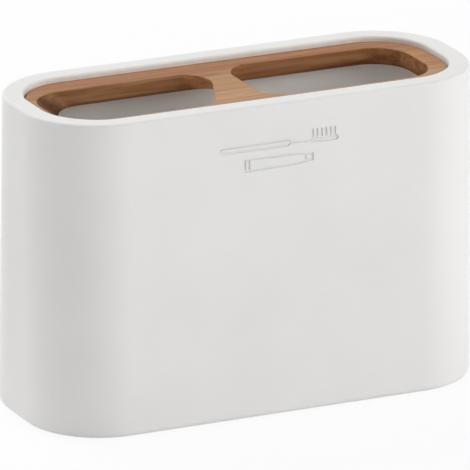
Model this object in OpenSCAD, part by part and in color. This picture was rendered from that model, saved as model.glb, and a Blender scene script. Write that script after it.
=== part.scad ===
// Toothbrush holder: a heavy cast shell with an oblong plan, whose front and rear spread a little
// towards the underside, a glued bamboo insert that lifts out of a recess in its rim, and four soft
// feet. X runs along the length, Y to the back, Z up, and the origin is in the middle of the plane
// that the feet stand on.

/* [Shell] */
// Length of the shell, end to end
shell_l = 135; // [120:1:150]
// Depth of the shell at its rim, front to back
shell_d = 53; // [50:1:62]
// How much further out the front and the rear stand at the underside than at the rim
base_spread = 2.4; // [0:0.1:4]
// Height of the shell, from its underside to its rim
shell_h = 90.1; // [70:0.1:120]
// Radius of the four upright corners
corner_r = 22.1; // [19:0.1:24]
// Thickness of the wall round the insert, at the rim
rim_t = 5.8; // [5:0.1:7.5]
// Radius of the rim's outer edge
rim_outer_r = 0.7; // [0.4:0.1:2]
// Radius of the rim's inner edge
rim_inner_r = 0.7; // [0.3:0.1:1.5]
// Radius of the edge round the underside
base_r = 1.5; // [0.8:0.1:4]
// Width of the ledge that carries the insert
ledge_w = 2.6; // [2:0.1:3.4]
// Thickness of the floor
floor_t = 6; // [4:0.5:10]
// Radius where the inner walls run into the floor
floor_r = 5; // [2:0.5:8]

/* [Insert] */
// Thickness of the bamboo board
board_t = 4.9; // [4:0.1:7]
// Depth of the board's top below the rim
board_drop = 1.5; // [0.5:0.1:4]
// Clear gap between the board and the wall round it
board_gap = 0.2; // [0.1:0.05:0.6]
// Width of each of the two outer strips; a third strip between them fills the rest of the board
outer_strip_w = 12.45; // [11:0.05:15]
// Distance of the bridge's straight right side from the middle of the holder
bridge_x = 1.8; // [0:0.1:4]
// Width of the bridge between the edge lines of the openings, at the back
bridge_back_w = 4.3; // [2:0.1:8]
// The same width at the front, where the bridge is wider
bridge_front_w = 15.9; // [8:0.1:18]
// Radius of the small rounding on the board's outer upper edge
edge_r = 0.3; // [0.2:0.05:0.6]

/* [Left opening] */
// Width of the board's rail at the left end
left_end_rail = 2.2; // [1.6:0.1:6]
// Width of the rear rail at the left end of the left opening
left_rear_rail_far = 7.9; // [5:0.1:10]
// Width of the rear rail at the bridge end of the left opening
left_rear_rail_near = 7.3; // [5:0.1:10]
// Width of the front rail along the left opening
left_front_rail = 4.3; // [3:0.1:6]
// Radius of the left opening's two corners next to the bridge
left_near_r = 8; // [5:0.1:10]
// Radius of the left opening's two corners at the end
left_far_r = 9.6; // [6:0.1:11]
// How far this opening leans: its lower edge lies this far to the right of its upper edge
left_shift = 7; // [0:0.5:8]

/* [Right opening] */
// Width of the board's rail at the right end
right_end_rail = 5.9; // [3:0.1:8]
// Width of the rear rail along the right opening
right_rear_rail = 5.7; // [4:0.1:8]
// Width of the front rail along the right opening
right_front_rail = 4.5; // [3:0.1:7]
// Radius of the right opening's two corners next to the bridge
right_near_r = 8.5; // [5:0.1:10]
// Radius of the right opening's two corners at the end
right_far_r = 11.1; // [6:0.1:12]

/* [Feet] */
// Diameter of a foot
foot_d = 10; // [7:0.5:13]
// Height that the feet stand out below the shell
foot_h = 0.6; // [0.4:0.1:2]
// Depth of the pocket that a foot is glued into
pocket_depth = 1.2; // [0.8:0.1:2]
// Clear gap round a foot in its pocket
pocket_gap = 0.25; // [0.1:0.05:0.5]
// Rounding of a foot's lower edge
foot_edge_r = 0.3; // [0.1:0.05:0.5]
// Distance of a foot's pocket from the rounded edge round the underside
foot_margin = 1.2; // [0.5:0.1:4]

/* [Engraved sign] */
// Depth of the engraving in the front
sign_t = 0.5; // [0.2:0.05:0.8]
// Width of an engraved line
line_w = 0.65; // [0.4:0.05:0.9]
// Height of the sign's upper figure, a brush that lies on its back
brush_h = 4.1; // [3.4:0.1:6]
// Length of the brush
brush_l = 36.6; // [28:0.2:46]
// Distance of the brush's underside below the rim
brush_drop = 12.8; // [9:0.1:20]
// Length of the sign's lower figure, a tube of paste
tube_l = 21.4; // [16:0.2:30]
// Height of the tube at its crimped end
tube_h = 4; // [3.4:0.1:6]
// Clear space between the two figures
sign_gap = 1.9; // [1:0.1:4]
// Length of the brush's head
head_l = 9; // [7:0.5:12]
// Number of tufts on the brush's head
tufts = 6; // [4:1:8]

/* [Hidden] */
$fn = 96;

// How far a cut runs past the surface that it opens
over = 1;

// How much larger a corner's circle is than the corner's radius, so that it crosses the two sides
bite = 0.001;

// Heights: the shell's underside, its rim, and the board's two faces
base_z = foot_h;
rim_z = base_z + shell_h;
board_top_z = rim_z - board_drop;
ledge_z = board_top_z - board_t;
floor_z = base_z + floor_t;

// Plan of the shell: half sizes between the centres of its upright corners
arc_x = shell_l / 2 - corner_r;
arc_y = shell_d / 2 - corner_r;
recess_r = corner_r - rim_t;
cavity_r = recess_r - ledge_w;
inner_floor_r = min(floor_r, cavity_r);

// Plan of the board
board_r = recess_r - board_gap;
board_x = arc_x + board_r;
board_y = arc_y + board_r;
strip_y = board_y - outer_strip_w;

// Corner points of the openings' edge lines on top of the board, anticlockwise from the front left
left_opening = [
    [-board_x + left_end_rail, -board_y + left_front_rail],
    [bridge_x - bridge_front_w, -board_y + left_front_rail],
    [bridge_x - bridge_back_w, board_y - left_rear_rail_near],
    [-board_x + left_end_rail, board_y - left_rear_rail_far]
];
left_radii = [left_far_r, left_near_r, left_near_r, left_far_r];
right_opening = [
    [bridge_x, -board_y + right_front_rail],
    [board_x - right_end_rail, -board_y + right_front_rail],
    [board_x - right_end_rail, board_y - right_rear_rail],
    [bridge_x, board_y - right_rear_rail]
];
right_radii = [right_near_r, right_far_r, right_far_r, right_near_r];

// Feet: their radius and the places of their centres, on the corners' diagonals
foot_r = foot_d / 2;
foot_reach = corner_r - base_r - foot_margin - pocket_gap - foot_r;
foot_x = arc_x + foot_reach * cos(45);
foot_y = arc_y + base_spread + foot_reach * sin(45);

// Sign: heights of the two figures, and shares of their own sizes
brush_z = rim_z - brush_drop;
tube_z = brush_z - sign_gap - tube_h;
handle_h_share = 0.5;
handle_l_share = 0.6;
head_h_share = 0.4;
tuft_margin_share = 0.12;
tube_body_share = 0.8;
tube_shoulder_share = 0.08;
tube_neck_share = 0.42;

// Arithmetic for outlines with rounded corners
function unit(v) = v / norm(v);
function at(list, i) = list[(i + len(list)) % len(list)];
function towards(p, i, step) = unit(at(p, i + step) - p[i]);
function half_angle(p, i) = acos(towards(p, i, 1) * towards(p, i, -1)) / 2;
function corner_centre(p, r, i) =
    p[i] + unit(towards(p, i, 1) + towards(p, i, -1)) * r[i] / sin(half_angle(p, i));
function corner_ends(p, r, i) = [
    for (step = [-1, 1]) p[i] + towards(p, i, step) * r[i] / tan(half_angle(p, i))
];

// A convex outline: its corners are cut straight between their tangent points, and circles fill them
module rounded_outline(points, radii) {
    polygon([for (i = [0:len(points) - 1]) each corner_ends(points, radii, i)]);
    for (i = [0:len(points) - 1])
        translate(corner_centre(points, radii, i)) circle(r = radii[i] + bite);
}

// Half of the shell's outline across its length, from a corner's centre line out to the outer face
module outer_profile() {
    difference() {
        translate([0, base_z]) square([corner_r, shell_h]);
        translate([corner_r - base_r, base_z]) mirror([0, 1]) corner_waste(base_r);
        translate([corner_r - rim_outer_r, rim_z]) corner_waste(rim_outer_r);
    }
}

// What rounding takes off a corner whose sides run to the left and down
module corner_waste(r) {
    difference() {
        translate([0, -r]) square([r + over, r + over]);
        translate([0, -r]) circle(r = r);
    }
}

// The same half of the hollow inside
module inner_profile() {
    // The cavity, down to its rounded floor
    difference() {
        translate([0, floor_z]) square([cavity_r, shell_h]);
        translate([cavity_r - inner_floor_r, floor_z]) mirror([0, 1])
            difference() {
                translate([0, -inner_floor_r]) square([inner_floor_r, inner_floor_r]);
                translate([0, -inner_floor_r]) circle(r = inner_floor_r);
            }
    }
    // The recess for the board
    translate([0, ledge_z]) square([recess_r, shell_h]);
    // The rounded inner edge of the rim
    translate([recess_r + rim_inner_r, rim_z]) mirror([1, 0]) corner_waste(rim_inner_r);
}

// Carries a cross-section once round the oblong, and closes its middle with a plate from z up
module swept(z, t) {
    for (sx = [0, 1], sy = [0, 1])
        mirror([sx, 0, 0]) mirror([0, sy, 0])
            translate([arc_x, arc_y, 0]) rotate_extrude(angle = 90) children();
    for (side = [0, 1]) mirror([0, side, 0])
        translate([arc_x, arc_y, 0]) rotate([90, 0, -90]) mirror([1, 0, 0])
            linear_extrude(2 * arc_x) children();
    for (side = [0, 1]) mirror([side, 0, 0])
        translate([arc_x, arc_y, 0]) rotate([90, 0, 0])
            linear_extrude(2 * arc_y) children();
    translate([-arc_x, -arc_y, z]) cube([2 * arc_x, 2 * arc_y, t]);
}

// Moves what it holds to the front on the way down from the rim
module leaning() {
    lean = base_spread / shell_h;
    multmatrix([[1, 0, 0, 0], [0, 1, lean, -lean * rim_z], [0, 0, 1, 0]]) children();
}

// The front half of the shell's outside; the end walls run on past the middle and are cut there
module front_half() {
    end_l = arc_y + base_spread + over;
    intersection() {
        leaning() {
            for (side = [0, 1]) mirror([side, 0, 0]) {
                translate([arc_x, -arc_y, 0]) rotate([0, 0, -90])
                    rotate_extrude(angle = 90) outer_profile();
                translate([arc_x, end_l - arc_y, 0]) rotate([90, 0, 0])
                    linear_extrude(end_l) outer_profile();
            }
            translate([-arc_x, -arc_y, 0]) rotate([90, 0, 90]) mirror([1, 0, 0])
                linear_extrude(2 * arc_x) outer_profile();
            translate([-arc_x, -arc_y, base_z]) cube([2 * arc_x, end_l, shell_h]);
        }
        translate([-shell_l, -shell_d, 0]) cube([2 * shell_l, shell_d, 2 * shell_h]);
    }
}

// One engraved line with round ends
module stroke(a, b) {
    length = norm(b - a);
    direction = atan2(b[1] - a[1], b[0] - a[0]);
    translate(a) rotate(direction) {
        translate([0, -line_w / 2]) square([length, line_w]);
        circle(d = line_w);
        translate([length, 0]) circle(d = line_w);
    }
}

module strokes(points) {
    for (i = [0:len(points) - 2]) stroke(points[i], points[i + 1]);
}

// A line round a bar with half-round ends, whose outside is l long and h high
module bar_line(l, h) {
    difference() {
        bar(l, h, 0);
        bar(l, h, line_w);
    }
}

module bar(l, h, inset) {
    translate([h / 2, inset]) square([l - h, h - 2 * inset]);
    for (x = [h / 2, l - h / 2]) translate([x, h / 2]) circle(r = h / 2 - inset);
}

// The brush: handle, neck, head and tufts, with its lower left corner at the origin
module brush_figure() {
    handle_l = brush_l * handle_l_share;
    handle_h = brush_h * handle_h_share;
    head_h = brush_h * head_h_share;
    head_x = brush_l - head_l;
    tuft_x = head_x + head_l * tuft_margin_share;
    tuft_step = head_l * (1 - 2 * tuft_margin_share) / (tufts - 1);
    bar_line(handle_l, handle_h);
    translate([head_x, 0]) bar_line(head_l, head_h);
    stroke([handle_l - line_w / 2, handle_h / 2], [head_x + line_w / 2, head_h / 2]);
    for (i = [0:tufts - 1])
        stroke([tuft_x + i * tuft_step, head_h - line_w / 2],
               [tuft_x + i * tuft_step, brush_h - line_w / 2]);
}

// The tube: a crimped end, a tapering body, shoulders and a cap
module tube_figure() {
    body_x = tube_l * tube_body_share;
    shoulder_x = body_x + tube_l * tube_shoulder_share;
    low = line_w / 2;
    high = tube_h - line_w / 2;
    neck = tube_h * tube_neck_share;
    neck_low = (tube_h - neck) / 2;
    neck_high = (tube_h + neck) / 2;
    taper = line_w / 2;
    strokes([
        [low, low], [body_x, low + taper], [shoulder_x, neck_low],
        [tube_l - low, neck_low], [tube_l - low, neck_high],
        [shoulder_x, neck_high], [body_x, high - taper], [low, high], [low, low]
    ]);
    stroke([shoulder_x, neck_low], [shoulder_x, neck_high]);
    stroke([low + 2 * line_w, low], [low + 2 * line_w, high]);
}

// Sinks a figure into the front face, with its middle on the holder's middle
module engraved(l, z) {
    leaning() translate([-l / 2, -shell_d / 2 + sign_t, z]) rotate([90, 0, 0])
        linear_extrude(sign_t + over) children();
}

module body_shell() {
    color([0.89, 0.88, 0.86]) difference() {
        for (side = [0, 1]) mirror([0, side, 0]) front_half();
        swept(floor_z, shell_h) inner_profile();
        for (sx = [-1, 1], sy = [-1, 1])
            translate([sx * foot_x, sy * foot_y, base_z - over])
                cylinder(r = foot_r + pocket_gap, h = pocket_depth + over);
        engraved(brush_l, brush_z) brush_figure();
        engraved(tube_l, tube_z) tube_figure();
    }
}

// The whole board before it is cut along its glue lines
module board() {
    difference() {
        swept(ledge_z, board_t) board_profile();
        opening_cut(left_opening, left_radii, left_shift);
        opening_cut(right_opening, right_radii, 0);
    }
}

module board_profile() {
    difference() {
        translate([0, ledge_z]) square([board_r, board_t]);
        translate([board_r - edge_r, board_top_z]) corner_waste(edge_r);
    }
}

// Cuts an opening, which moves to the right by shift on its way down through the board
module opening_cut(points, radii, shift) {
    lean = shift / board_t;
    multmatrix([[1, 0, -lean, lean * board_top_z], [0, 1, 0, 0], [0, 0, 1, 0]])
        translate([0, 0, ledge_z - over]) linear_extrude(board_t + 2 * over)
            rounded_outline(points, radii);
}

// Keeps the part of the board between two lines across it and two lines along it
module board_piece(x0, x1, y0, y1) {
    intersection() {
        board();
        translate([x0, y0, ledge_z - over]) cube([x1 - x0, y1 - y0, board_t + 2 * over]);
    }
}

// Lines across the board, in the middle of each opening, that part the middle strip's pieces
left_mid_x = (left_opening[0][0] + bridge_x) / 2;
right_mid_x = (right_opening[1][0] + bridge_x) / 2;
outside_x = board_x + over;
outside_y = board_y + over;

module insert_rear_strip() {
    color([0.64, 0.48, 0.36]) board_piece(-outside_x, outside_x, strip_y, outside_y);
}

module insert_front_strip() {
    color([0.64, 0.48, 0.36]) board_piece(-outside_x, outside_x, -outside_y, -strip_y);
}

module insert_left_end() {
    color([0.70, 0.55, 0.42]) board_piece(-outside_x, left_mid_x, -strip_y, strip_y);
}

module insert_bridge() {
    color([0.72, 0.57, 0.44]) board_piece(left_mid_x, right_mid_x, -strip_y, strip_y);
}

module insert_right_end() {
    color([0.70, 0.55, 0.42]) board_piece(right_mid_x, outside_x, -strip_y, strip_y);
}

// A foot: a soft disc that fills its pocket and stands out below it
module foot(sx, sy) {
    height = foot_h + pocket_depth;
    color([0.80, 0.80, 0.79]) translate([sx * foot_x, sy * foot_y, 0])
        rotate_extrude() difference() {
            square([foot_r, height]);
            translate([foot_r - foot_edge_r, 0]) mirror([0, 1]) corner_waste(foot_edge_r);
        }
}

module foot_front_left() foot(-1, -1);
module foot_front_right() foot(1, -1);
module foot_rear_left() foot(-1, 1);
module foot_rear_right() foot(1, 1);

body_shell();
insert_rear_strip();
insert_front_strip();
insert_left_end();
insert_bridge();
insert_right_end();
foot_front_left();
foot_front_right();
foot_rear_left();
foot_rear_right();
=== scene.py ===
"""Looks of the toothbrush holder: camera, studio, cast shell, bamboo board and feet."""
import math

import bmesh
import bpy
from mathutils import Matrix, Vector


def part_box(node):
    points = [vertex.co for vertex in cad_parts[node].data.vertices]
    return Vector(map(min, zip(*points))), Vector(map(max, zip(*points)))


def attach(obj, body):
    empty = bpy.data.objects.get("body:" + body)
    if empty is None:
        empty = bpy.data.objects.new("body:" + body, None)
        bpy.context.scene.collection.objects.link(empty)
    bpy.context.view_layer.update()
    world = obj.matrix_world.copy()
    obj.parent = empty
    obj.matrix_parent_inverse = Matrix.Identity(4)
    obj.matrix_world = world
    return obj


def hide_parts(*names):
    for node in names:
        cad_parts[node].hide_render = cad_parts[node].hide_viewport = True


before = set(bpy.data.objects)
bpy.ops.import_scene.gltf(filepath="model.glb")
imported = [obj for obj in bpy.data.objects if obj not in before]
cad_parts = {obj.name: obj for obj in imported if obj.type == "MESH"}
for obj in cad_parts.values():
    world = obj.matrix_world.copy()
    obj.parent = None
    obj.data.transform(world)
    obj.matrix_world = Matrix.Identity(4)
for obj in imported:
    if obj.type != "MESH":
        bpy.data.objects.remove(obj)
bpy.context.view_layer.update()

MM = 0.001

# Camera, solved from the photograph's outlines: angles in degrees, distances in metres
IMAGE_PX = 470
SENSOR_MM = 36
FOCAL_PX = 8834.6
CAMERA_AZIMUTH = 25.643
CAMERA_ELEVATION = 18.239
CAMERA_ROLL = 0.377
CAMERA_DISTANCE = 2.4689
CLIP_START = 0.1
CLIP_END = 20
# Where the shell's middle shows, to the right of and below the middle of the image
AIM_OFFSET_PX = (1.36, -4.0)

# Studio, in metres. The world lights the holder at WORLD_STRENGTH, and shows at SEEN_STRENGTH.
WHITE = (1, 1, 1, 1)
WORLD_STRENGTH = 0.3
SEEN_STRENGTH = 1
FLOOR_SIZE = 6
FLOOR_COLOUR = (0.92, 0.92, 0.92, 1)
FLOOR_LIT_SHARE = 0.08
SOFTBOX_DISTANCE = 1.6
SOFTBOX_SIZE = 1.2
SOFTBOX_AIM = Vector((0, 0, 0.05))
# Name, azimuth from the front towards the right and elevation in degrees, and watts
SOFTBOXES = [
    ("front_low", 45, 4, 9.4),
    ("front_right", 60, 12, 4.2),
    ("front_high", 30, 45, 3.9),
    ("left", -95, 12, 1.4),
    ("left_back", -120, 15, 2.7),
    ("left_high", -60, 62, 1.8),
    ("rear_high", -165, 45, 12.8),
]

# Board, in millimetres: what the frame doesn't give by itself
BOARD_CORNER_R = 16.1
EDGE_R = 0.3
STRIP_Y = 8.05

# Openings: corner points of their edge lines on the board's top, anticlockwise from the front left.
# The left opening leans: its lower edge lies to the right of its upper edge by LEFT_SHIFT.
LEFT_OPENING = [(-59.3, -16.2), (-14.1, -16.2), (-2.5, 13.2), (-59.3, 12.6)]
LEFT_RADII = [9.6, 8.0, 8.0, 9.6]
LEFT_SHIFT = 7.0
RIGHT_OPENING = [(1.8, -16.0), (55.6, -16.0), (55.6, 14.8), (1.8, 14.8)]
RIGHT_RADII = [8.5, 11.1, 11.1, 8.5]

# Steps of a corner's arc and of an edge's rounding, and the turn from which an edge looks sharp
ARC_STEPS = 20
EDGE_STEPS = 5
SHARP_DEGREES = 30

# Boxes that cut the board into strips: how far from its middle and how far past its two faces
# they reach, in millimetres
FAR = 100
OVERRUN = 1


def new_object(name, data):
    """An object with this data, linked to the scene."""
    thing = bpy.data.objects.new(name, data)
    bpy.context.scene.collection.objects.link(thing)
    return thing


# Camera

def make_camera():
    """A camera that sees the holder as the photograph does."""
    azimuth = math.radians(CAMERA_AZIMUTH)
    elevation = math.radians(CAMERA_ELEVATION)
    roll = math.radians(CAMERA_ROLL)
    low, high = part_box("body_shell")
    aim = Vector((0, 0, (low.z + high.z) / 2))
    forward = Vector((math.sin(azimuth) * math.cos(elevation),
                      math.cos(azimuth) * math.cos(elevation),
                      -math.sin(elevation)))
    level = Vector((math.cos(azimuth), -math.sin(azimuth), 0))
    upright = level.cross(forward)
    right = math.cos(roll) * level + math.sin(roll) * upright
    up = -math.sin(roll) * level + math.cos(roll) * upright
    pixel = CAMERA_DISTANCE / FOCAL_PX
    offset_x, offset_y = AIM_OFFSET_PX
    data = bpy.data.cameras.new("camera")
    data.sensor_width = SENSOR_MM
    data.sensor_fit = "HORIZONTAL"
    data.lens = FOCAL_PX * SENSOR_MM / IMAGE_PX
    data.clip_start = CLIP_START
    data.clip_end = CLIP_END
    camera = new_object("camera", data)
    matrix = Matrix((right, up, -forward)).transposed().to_4x4()
    matrix.translation = (aim - CAMERA_DISTANCE * forward
                          - offset_x * pixel * right + offset_y * pixel * up)
    camera.matrix_world = matrix
    bpy.context.scene.camera = camera


# Studio

def make_softbox(name, azimuth, elevation, watts):
    """A round area light that looks at the holder."""
    azimuth = math.radians(azimuth)
    elevation = math.radians(elevation)
    away = Vector((math.sin(azimuth) * math.cos(elevation),
                   -math.cos(azimuth) * math.cos(elevation),
                   math.sin(elevation)))
    data = bpy.data.lights.new(name, "AREA")
    data.shape = "DISK"
    data.size = SOFTBOX_SIZE
    data.energy = watts
    lamp = new_object(name, data)
    lamp.location = SOFTBOX_AIM + SOFTBOX_DISTANCE * away
    lamp.rotation_euler = (-away).to_track_quat("-Z", "Y").to_euler()


def seen_directly(nodes, links):
    """1 for camera, glossy and transmission rays, 0 for the light that falls on the holder."""
    path = nodes.new("ShaderNodeLightPath")
    seen = path.outputs["Is Camera Ray"]
    for kind in ("Is Glossy Ray", "Is Transmission Ray"):
        either = nodes.new("ShaderNodeMath")
        either.operation = "MAXIMUM"
        links.new(seen, either.inputs[0])
        links.new(path.outputs[kind], either.inputs[1])
        seen = either.outputs[0]
    return seen


def background(nodes, strength):
    """Plain white light."""
    node = nodes.new("ShaderNodeBackground")
    node.inputs["Color"].default_value = WHITE
    node.inputs["Strength"].default_value = strength
    return node


def make_world():
    """Soft white light all round, which shows as plain white where it is seen directly."""
    world = bpy.data.worlds.new("studio")
    bpy.context.scene.world = world
    world.use_nodes = True
    nodes, links = world.node_tree.nodes, world.node_tree.links
    nodes.clear()
    mix = nodes.new("ShaderNodeMixShader")
    out = nodes.new("ShaderNodeOutputWorld")
    links.new(seen_directly(nodes, links), mix.inputs["Fac"])
    links.new(background(nodes, WORLD_STRENGTH).outputs[0], mix.inputs[1])
    links.new(background(nodes, SEEN_STRENGTH).outputs[0], mix.inputs[2])
    links.new(mix.outputs[0], out.inputs["Surface"])


def make_floor():
    """A white floor. Where it is seen directly, FLOOR_LIT_SHARE of it is lit and shaded, and the
    rest is plain white."""
    mesh = bpy.data.meshes.new("floor")
    half = FLOOR_SIZE / 2
    corners = [(-half, -half, 0), (half, -half, 0), (half, half, 0), (-half, half, 0)]
    mesh.from_pydata(corners, [], [(0, 1, 2, 3)])
    floor = new_object("floor", mesh)
    material = bpy.data.materials.new("floor")
    material.use_nodes = True
    nodes, links = material.node_tree.nodes, material.node_tree.links
    nodes.clear()
    lit = nodes.new("ShaderNodeBsdfDiffuse")
    lit.inputs["Color"].default_value = FLOOR_COLOUR
    white = nodes.new("ShaderNodeEmission")
    white.inputs["Color"].default_value = WHITE
    share = nodes.new("ShaderNodeMath")
    share.operation = "MULTIPLY"
    share.inputs[1].default_value = 1 - FLOOR_LIT_SHARE
    mix = nodes.new("ShaderNodeMixShader")
    out = nodes.new("ShaderNodeOutputMaterial")
    links.new(seen_directly(nodes, links), share.inputs[0])
    links.new(share.outputs[0], mix.inputs["Fac"])
    links.new(lit.outputs[0], mix.inputs[1])
    links.new(white.outputs[0], mix.inputs[2])
    links.new(mix.outputs[0], out.inputs["Surface"])
    mesh.materials.append(material)


# Materials

def srgb(r, g, b):
    """A colour given as it shows on a screen, 0 to 255, as the linear colour that shaders use."""
    def linear(c):
        c = c / 255
        return c / 12.92 if c <= 0.04045 else ((c + 0.055) / 1.055) ** 2.4
    return (linear(r), linear(g), linear(b), 1)


# Lumps per metre of each noise, along X, Y and Z
STONE_CLOUDS = (34, 34, 34)
STONE_SPECKS = (1900, 1900, 1900)
STONE_TOOTH = (1500, 1500, 1500)
BAMBOO_BANDS = (5, 260, 240)
BAMBOO_FIBRES = (16, 820, 700)
BAMBOO_PORES = (90, 1900, 1700)
CUT_GRAIN = (30, 300, 520)
SILICONE_MOTTLE = (260, 260, 260)
SILICONE_TOOTH = (1800, 1800, 1800)

STONE_DEEP = srgb(240, 239, 237)
STONE_PALE = srgb(243, 242, 240)
SILICONE_DEEP = srgb(196, 197, 197)
SILICONE_PALE = srgb(210, 210, 209)
# How far red, green and blue light spread in the silicone, in metres
SILICONE_SPREAD = (0.002, 0.002, 0.002)

# What the colour is multiplied by on the shell's specks and on the bamboo's fibres and pores, and
# on the bamboo's cut faces: their grain; painted shade along their lowest part; painted light that
# makes the left opening's faces brighter, and the right opening's darker tone, partly their own and
# partly painted shade; the leaning end of the left opening, darker end grain with painted shade over
# it; painted light on faces that look down; and a painted highlight on the rounded edges
SPECK_TONE = srgb(226, 223, 219)
FIBRE_TONE = srgb(205, 178, 150)
PORE_TONE = srgb(170, 130, 100)
GRAIN_TONE = srgb(205, 190, 175)
BASE_SHADE = srgb(210, 200, 190)
LEFT_CUT_PAINTED_LIGHT = (1.07, 1.15, 1.1, 1)
RIGHT_CUT_TONE_AND_SHADE = (0.87, 0.82, 0.74, 1)
LEANING_TONE_AND_SHADE = (0.27, 0.17, 0.095, 1)
UNDER_PAINTED_LIGHT = (2.0, 1.9, 1.7, 1)
EDGE_PAINTED_HIGHLIGHT = (1.12, 1.12, 1.1, 1)

# Each tone fades out or in between two values of how far up a face looks, where 1 is straight up
CUT_RANGE = (0.86, 0.96)
LEANING_RANGE = (0.45, 0.75)
UNDER_LIGHT_RANGE = (-0.45, -0.02)
EDGE_HIGHLIGHT_RANGE = (0.93, 0.98)

# In millimetres: where along X the left opening's painted light turns into the right one's tone and
# painted shade, and between which heights above the board's underside the painted shade of the
# lowest part fades out
PAINTED_LIGHT_CHANGE_X = (-2, 2)
BASE_SHADE_HEIGHT = (0.4, 1.2)
# Between which depths below the board's top the rounded edge's painted highlight fades in, as shares
# of EDGE_R
HIGHLIGHT_DEPTH_SHARES = (1.1, 0.8)

# Name, pale colour, deep colour and seed of the strips' bamboo
REAR_BAMBOO = ("bamboo_rear", srgb(178, 130, 94), srgb(166, 117, 81), 0)
FRONT_BAMBOO = ("bamboo_front", srgb(195, 154, 115), srgb(190, 143, 104), 7)
MIDDLE_BAMBOO = ("bamboo_middle", srgb(190, 148, 106), srgb(181, 135, 94), 13)
RIGHT_END_BAMBOO = ("bamboo_right_end", srgb(186, 138, 96), srgb(178, 128, 87), 21)


class Finish:
    """A Principled material, and the nodes that its textures are made of."""

    def __init__(self, name, roughness, specular):
        self.material = bpy.data.materials.new(name)
        self.material.use_nodes = True
        self.nodes = self.material.node_tree.nodes
        self.links = self.material.node_tree.links
        self.shader = self.nodes["Principled BSDF"]
        self.shader.inputs["Roughness"].default_value = roughness
        self.shader.inputs["Specular IOR Level"].default_value = specular

    def node(self, kind, given, **settings):
        """A new node. Given holds a socket or a plain value for each of its inputs."""
        node = self.nodes.new(kind)
        for name, value in settings.items():
            setattr(node, name, value)
        for key, value in given.items():
            self.feed(node.inputs[key], value)
        return node

    def feed(self, socket, value):
        if isinstance(value, bpy.types.NodeSocket):
            self.links.new(value, socket)
        else:
            socket.default_value = value

    def own(self, output):
        """The object's own place in metres ("Object"), or the way that its face looks ("Normal"),
        as a list of X, Y and Z."""
        vector = self.node("ShaderNodeTexCoord", {}).outputs[output]
        return list(self.node("ShaderNodeSeparateXYZ", {0: vector}).outputs)

    def noise(self, scale, detail=3, roughness=0.55, distortion=0.0):
        """Noise with as many lumps per metre along each axis as scale says."""
        place = self.node("ShaderNodeMapping", {
            "Vector": self.node("ShaderNodeTexCoord", {}).outputs["Object"], "Scale": scale})
        return self.node("ShaderNodeTexNoise", {
            "Vector": place.outputs["Vector"], "Scale": 1, "Detail": detail,
            "Roughness": roughness, "Distortion": distortion}).outputs["Fac"]

    def spread(self, value, low, high, to_low=0.0, to_high=1.0):
        """Stretches a value from low..high to to_low..to_high, and clamps it."""
        return self.node("ShaderNodeMapRange", {
            "Value": value, "From Min": low, "From Max": high,
            "To Min": to_low, "To Max": to_high}).outputs["Result"]

    def product(self, first, second):
        return self.node("ShaderNodeMath", {0: first, 1: second}, operation="MULTIPLY").outputs[0]

    def blend(self, how, factor, first, second):
        """Mixes two colours."""
        return self.node("ShaderNodeMix", {0: factor, 6: first, 7: second},
                         data_type="RGBA", blend_type=how).outputs[2]

    def colour(self, colour):
        self.feed(self.shader.inputs["Base Color"], colour)

    def bump(self, height, distance, strength):
        node = self.node("ShaderNodeBump", {
            "Height": height, "Distance": distance, "Strength": strength})
        self.feed(self.shader.inputs["Normal"], node.outputs["Normal"])


def cast_stone():
    """Off-white cast stone-resin: matt, faintly clouded, with a fine tooth."""
    finish = Finish("cast_stone", roughness=0.58, specular=0.35)
    clouds = finish.noise(STONE_CLOUDS, detail=4, roughness=0.5)
    clouded = finish.spread(clouds, low=0.35, high=0.65)
    colour = finish.blend("MIX", clouded, STONE_DEEP, STONE_PALE)
    specks = finish.noise(STONE_SPECKS, detail=2, roughness=0.6)
    specked = finish.spread(specks, low=0.7, high=0.8, to_high=0.3)
    finish.colour(finish.blend("MULTIPLY", specked, colour, SPECK_TONE))
    tooth = finish.noise(STONE_TOOTH, detail=3, roughness=0.6)
    finish.bump(tooth, distance=0.06 * MM, strength=0.25)
    return finish.material


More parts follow.
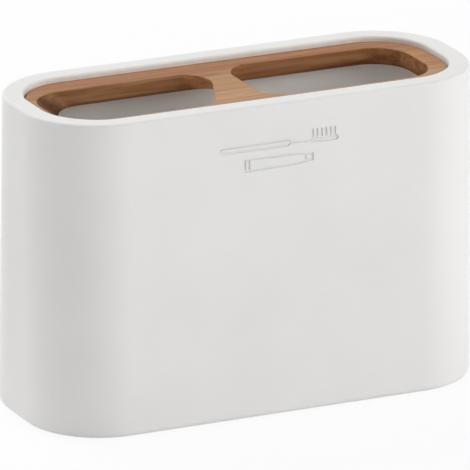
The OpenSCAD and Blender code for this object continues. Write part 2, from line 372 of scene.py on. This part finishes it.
def bamboo(name, pale, deep, seed):
    """Oiled bamboo with its fibres along X: bands, fibre streaks, short dark pores, and cut faces
    of another tone, with painted light and painted shade on them. Each seed gives a pattern of its
    own."""
    def seeded(scale):
        return (scale[0], scale[1] + seed, scale[2])

    finish = Finish(name, roughness=0.5, specular=0.15)
    bands = finish.noise(seeded(BAMBOO_BANDS), detail=2, roughness=0.5, distortion=0.15)
    banded = finish.spread(bands, low=0.36, high=0.64)
    colour = finish.blend("MIX", banded, deep, pale)
    fibres = finish.noise(seeded(BAMBOO_FIBRES), detail=3, roughness=0.6)
    streaked = finish.spread(fibres, low=0.42, high=0.7, to_high=0.6)
    colour = finish.blend("MULTIPLY", streaked, colour, FIBRE_TONE)
    pores = finish.noise(seeded(BAMBOO_PORES), detail=2, roughness=0.5)
    pitted = finish.spread(pores, low=0.62, high=0.7, to_high=0.5)
    uncut = finish.blend("MULTIPLY", pitted, colour, PORE_TONE)

    low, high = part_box("insert_rear_strip")
    looks_up = finish.own("Normal")[2]
    along = finish.own("Object")[0]
    height = finish.own("Object")[2]
    cut = finish.spread(looks_up, *CUT_RANGE, 1.0, 0.0)
    # The leaning end of the left opening is made very dark: partly the darker tone of end grain,
    # partly painted shade
    leaning_shade = finish.product(cut, finish.spread(looks_up, *LEANING_RANGE))
    # Painted light: faces that look down are made about twice as bright
    under_light = finish.spread(looks_up, *UNDER_LIGHT_RANGE, 1.0, 0.0)
    # Painted highlight: the rounded top edges are made lighter
    highlight_band = [high.z - share * EDGE_R * MM for share in HIGHLIGHT_DEPTH_SHARES]
    edge_highlight = finish.product(finish.spread(looks_up, *EDGE_HIGHLIGHT_RANGE, 1.0, 0.0),
                          finish.spread(height, *highlight_band))
    # Painted shade: a dark band along the bottom edge of the cut faces
    base_shade_band = [low.z + above * MM for above in BASE_SHADE_HEIGHT]
    base_shade = finish.product(cut, finish.spread(height, *base_shade_band, 1.0, 0.0))
    grain = finish.noise(CUT_GRAIN, detail=2, roughness=0.5)
    # Painted light: cut faces in the left opening are made brighter; in the right one they are
    # darker, partly their own tone and partly painted shade
    painted_light_side = finish.spread(along, *[x * MM for x in PAINTED_LIGHT_CHANGE_X])

    cut_tone_and_light = finish.blend("MIX", painted_light_side, LEFT_CUT_PAINTED_LIGHT, RIGHT_CUT_TONE_AND_SHADE)
    colour = finish.blend("MULTIPLY", cut, uncut, cut_tone_and_light)
    grained = finish.product(cut, finish.spread(grain, low=0.4, high=0.65))
    colour = finish.blend("MULTIPLY", grained, colour, GRAIN_TONE)
    colour = finish.blend("MULTIPLY", leaning_shade, colour, LEANING_TONE_AND_SHADE)
    colour = finish.blend("MULTIPLY", base_shade, colour, BASE_SHADE)
    colour = finish.blend("MIX", under_light, colour, finish.blend("MULTIPLY", 1.0, uncut, UNDER_PAINTED_LIGHT))
    colour = finish.blend("MIX", edge_highlight, colour, finish.blend("MULTIPLY", 1.0, uncut, EDGE_PAINTED_HIGHLIGHT))
    finish.colour(colour)
    finish.bump(fibres, distance=0.08 * MM, strength=0.5)
    return finish.material


def silicone():
    """Grey translucent silicone with a faint mottle."""
    finish = Finish("silicone", roughness=0.42, specular=0.4)
    mottled = finish.spread(finish.noise(SILICONE_MOTTLE), low=0.3, high=0.7)
    finish.colour(finish.blend("MIX", mottled, SILICONE_DEEP, SILICONE_PALE))
    finish.shader.inputs["Subsurface Weight"].default_value = 0.2
    finish.shader.inputs["Subsurface Radius"].default_value = SILICONE_SPREAD
    finish.bump(finish.noise(SILICONE_TOOTH, detail=2), distance=0.04 * MM, strength=0.3)
    return finish.material


def dress(node, material):
    """Gives a CAD node its material."""
    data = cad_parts[node].data
    data.materials.clear()
    data.materials.append(material)


# Bamboo board

def rounded_outline(points, radii, offset):
    """A closed outline with round corners, moved outwards by offset. Points run anticlockwise, in
    millimetres."""
    outline = []
    count = len(points)
    for i in range(count):
        corner = Vector(points[i])
        back = (Vector(points[i - 1]) - corner).normalized()
        on = (Vector(points[(i + 1) % count]) - corner).normalized()
        half = back.angle(on) / 2
        centre = corner + (back + on).normalized() * radii[i] / math.sin(half)
        start = Vector((-back.y, back.x))
        turn = math.pi - 2 * half
        for k in range(ARC_STEPS + 1):
            a = turn * k / ARC_STEPS
            out = Vector((start.x * math.cos(a) - start.y * math.sin(a),
                          start.x * math.sin(a) + start.y * math.cos(a)))
            outline.append(centre + out * (radii[i] + offset))
    return outline


def wall(mesh, points, radii, low_z, high_z, way, shift=0.0):
    """A wall along an outline, with its top edge rounded. Way is -1 round the outside and 1 round a
    hole. On the way down the wall moves to the right by shift. Gives its lowest and highest ring."""
    levels = [(low_z, 0)]
    for k in range(EDGE_STEPS + 1):
        a = math.pi / 2 * k / EDGE_STEPS
        levels.append((high_z - EDGE_R * (1 - math.sin(a)), EDGE_R * (1 - math.cos(a))))
    lean = shift / (high_z - low_z)
    rings = [[mesh.verts.new(((p.x + lean * (high_z - z)) * MM, p.y * MM, z * MM))
              for p in rounded_outline(points, radii, way * back)]
             for z, back in levels]
    for below, above in zip(rings, rings[1:]):
        for i in range(len(below)):
            j = (i + 1) % len(below)
            mesh.faces.new((below[i], below[j], above[j], above[i])).smooth = True
    return rings[0], rings[-1]


def flat_face(mesh, rings):
    """Fills the flat face between an outer ring and its holes."""
    edges = [mesh.edges.get((ring[i - 1], ring[i])) for ring in rings for i in range(len(ring))]
    bmesh.ops.triangle_fill(mesh, use_beauty=True, use_dissolve=False, edges=edges)


def piece_from(mesh, name):
    bmesh.ops.recalc_face_normals(mesh, faces=mesh.faces)
    data = bpy.data.meshes.new(name)
    mesh.to_mesh(data)
    mesh.free()
    return new_object(name, data)


def prism(name, points, low_z, high_z):
    """A closed block with an upright outline, in millimetres."""
    mesh = bmesh.new()
    low, high = [[mesh.verts.new((x * MM, y * MM, z * MM)) for x, y in points]
                 for z in (low_z, high_z)]
    mesh.faces.new(low)
    mesh.faces.new(high)
    for i in range(len(points)):
        mesh.faces.new((low[i - 1], low[i], high[i], high[i - 1]))
    return piece_from(mesh, name)


def keep_inside(piece, box):
    """Cuts off what lies outside box, and removes box."""
    modifier = piece.modifiers.new("cut", "BOOLEAN")
    modifier.operation = "INTERSECT"
    modifier.solver = "EXACT"
    modifier.object = box
    graph = bpy.context.evaluated_depsgraph_get()
    shape = bpy.data.meshes.new_from_object(piece.evaluated_get(graph))
    piece.modifiers.clear()
    piece.data = shape
    bpy.data.objects.remove(box)


def make_board():
    """The whole board with its two openings, before it is cut into strips."""
    low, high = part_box("insert_rear_strip")
    half_x = high.x / MM
    half_y = high.y / MM
    low_z = low.z / MM
    high_z = high.z / MM
    corners = [(-half_x, -half_y), (half_x, -half_y), (half_x, half_y), (-half_x, half_y)]
    mesh = bmesh.new()
    walls = [
        wall(mesh, corners, [BOARD_CORNER_R] * 4, low_z, high_z, -1),
        wall(mesh, LEFT_OPENING, LEFT_RADII, low_z, high_z, 1, LEFT_SHIFT),
        wall(mesh, RIGHT_OPENING, RIGHT_RADII, low_z, high_z, 1),
    ]
    flat_face(mesh, [low_ring for low_ring, high_ring in walls])
    flat_face(mesh, [high_ring for low_ring, high_ring in walls])
    return piece_from(mesh, "board"), low_z, high_z


def make_strips(finishes):
    """Cuts the board along its glue lines, and puts each strip in the place of its CAD node. The
    openings part the middle strip, and its pieces are cut apart within them."""
    board, low_z, high_z = make_board()
    left_x = (LEFT_OPENING[0][0] + RIGHT_OPENING[0][0]) / 2
    right_x = (RIGHT_OPENING[0][0] + RIGHT_OPENING[1][0]) / 2
    whole = (-FAR, FAR)
    middle = (-STRIP_Y, STRIP_Y)
    parts = [
        ("rear_strip", "insert_rear_strip", "bamboo_outer_strip", whole, (STRIP_Y, FAR)),
        ("front_strip", "insert_front_strip", "bamboo_outer_strip", whole, (-FAR, -STRIP_Y)),
        ("middle_left_end", "insert_left_end", "bamboo_middle_strip", (-FAR, left_x), middle),
        ("middle_bridge", "insert_bridge", "bamboo_middle_strip", (left_x, right_x), middle),
        ("middle_right_end", "insert_right_end", "bamboo_middle_strip", (right_x, FAR), middle),
    ]
    for name, node, slot, (x0, x1), (y0, y1) in parts:
        strip = new_object(name, board.data.copy())
        corners = [(x0, y0), (x1, y0), (x1, y1), (x0, y1)]
        keep_inside(strip, prism("box", corners, low_z - OVERRUN, high_z + OVERRUN))
        strip.data.set_sharp_from_angle(angle=math.radians(SHARP_DEGREES))
        strip.data.materials.clear()
        strip.data.materials.append(finishes[node])
        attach(strip, "insert")
        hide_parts(node)
    bpy.data.objects.remove(board)


make_camera()
make_world()
make_floor()
for softbox in SOFTBOXES:
    make_softbox(*softbox)

dress("body_shell", cast_stone())
foot_material = silicone()
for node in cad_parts:
    if node.startswith("foot_"):
        dress(node, foot_material)
middle_material = bamboo(*MIDDLE_BAMBOO)
make_strips({
    "insert_rear_strip": bamboo(*REAR_BAMBOO),
    "insert_front_strip": bamboo(*FRONT_BAMBOO),
    "insert_left_end": middle_material,
    "insert_bridge": middle_material,
    "insert_right_end": bamboo(*RIGHT_END_BAMBOO),
})

bpy.context.scene.view_settings.view_transform = "Standard"
bpy.context.view_layer.update()
